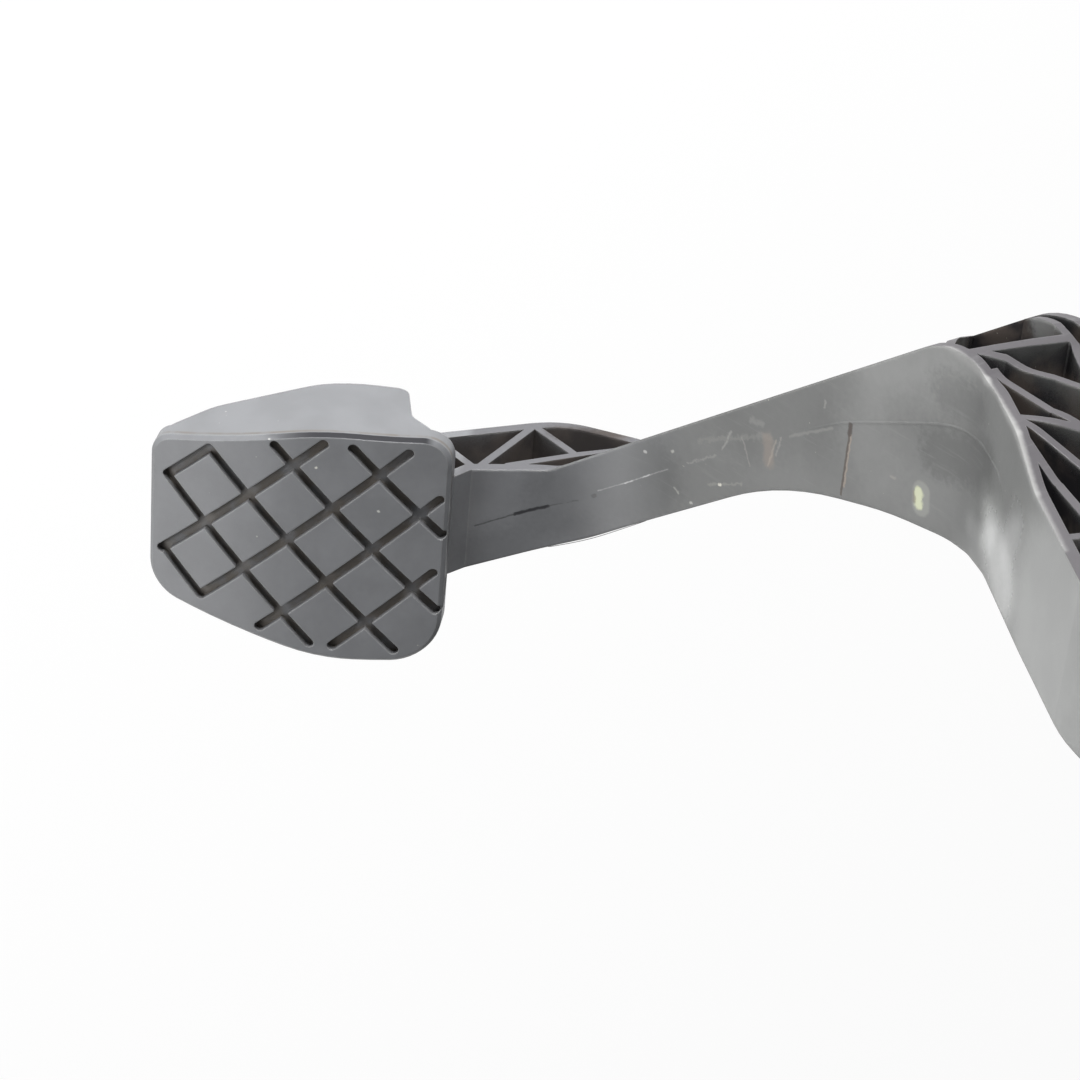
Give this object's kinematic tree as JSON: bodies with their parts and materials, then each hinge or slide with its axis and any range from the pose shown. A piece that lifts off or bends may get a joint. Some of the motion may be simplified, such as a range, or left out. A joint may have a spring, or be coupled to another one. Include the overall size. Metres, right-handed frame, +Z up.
{
  "type": "clutch pedal",
  "caption": "Hanging clutch pedal: moulded truss-ribbed lever with a cranked arm and a diamond-grooved pad, bushed on a steel pivot sleeve.",
  "frame": {"origin": "centre of the pivot sleeve, on the pivot axis", "axes": "+X along the pivot towards the driver's right, +Y forward to the engine, +Z up, with the lever hanging freely"},
  "size_m": [0.1206, 0.1459, 0.2966],
  "materials": {
    "lever": "dark grey glass-filled moulded plastic, fine spark-eroded texture",
    "bush": "natural low-friction plastic, smooth",
    "sleeve": "bright zinc-plated steel tube"
  },
  "bodies": {
    "pivot": {"pivot_sleeve": "sleeve"},
    "lever": {"pedal_lever": "lever", "pivot_bush_right": "bush", "pivot_bush_left": "bush"}
  },
  "joints": [
    {"name": "pedal_swing", "type": "hinge", "parent": "pivot", "child": "lever", "pos_m": [0, 0, 0], "axis": [1, 0, 0], "range_deg": [-4, 28]}
  ]
}
